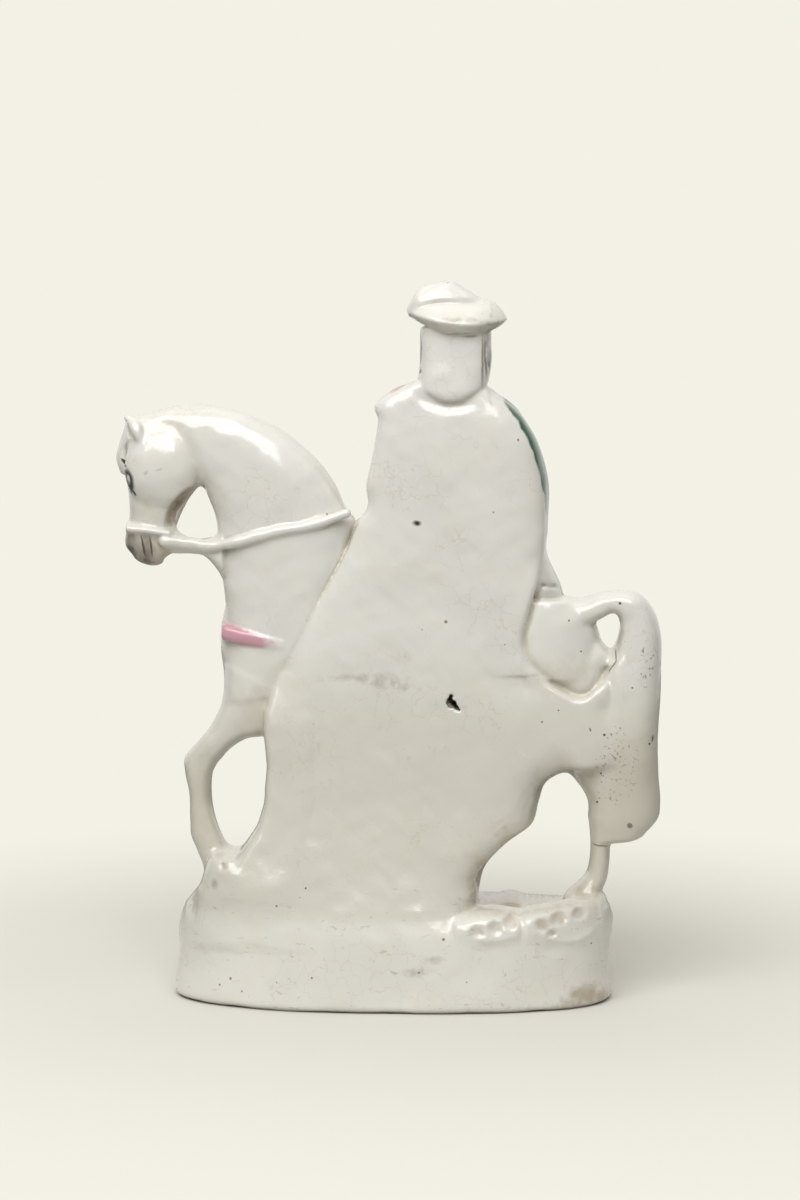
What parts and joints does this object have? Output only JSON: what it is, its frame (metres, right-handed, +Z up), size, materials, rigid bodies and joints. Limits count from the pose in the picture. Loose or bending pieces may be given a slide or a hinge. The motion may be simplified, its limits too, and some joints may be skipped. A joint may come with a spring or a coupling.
{
  "type": "staffordshire figure",
  "caption": "Glazed earthenware flatback ornament of a rider in a plumed hat on a standing horse, on an oval ground base, plain white behind.",
  "frame": {"origin": "middle of the underside of the oval base", "axes": "+Z up, +X towards the horse's head, +Y towards the flat back; the modelled front faces -Y"},
  "size_m": [0.2319, 0.076, 0.3048],
  "materials": {
    "glazed_earthenware": "gloss"
  },
  "bodies": {
    "root": {"mounted_rider_flatback": "glazed_earthenware"}
  },
  "joints": []
}
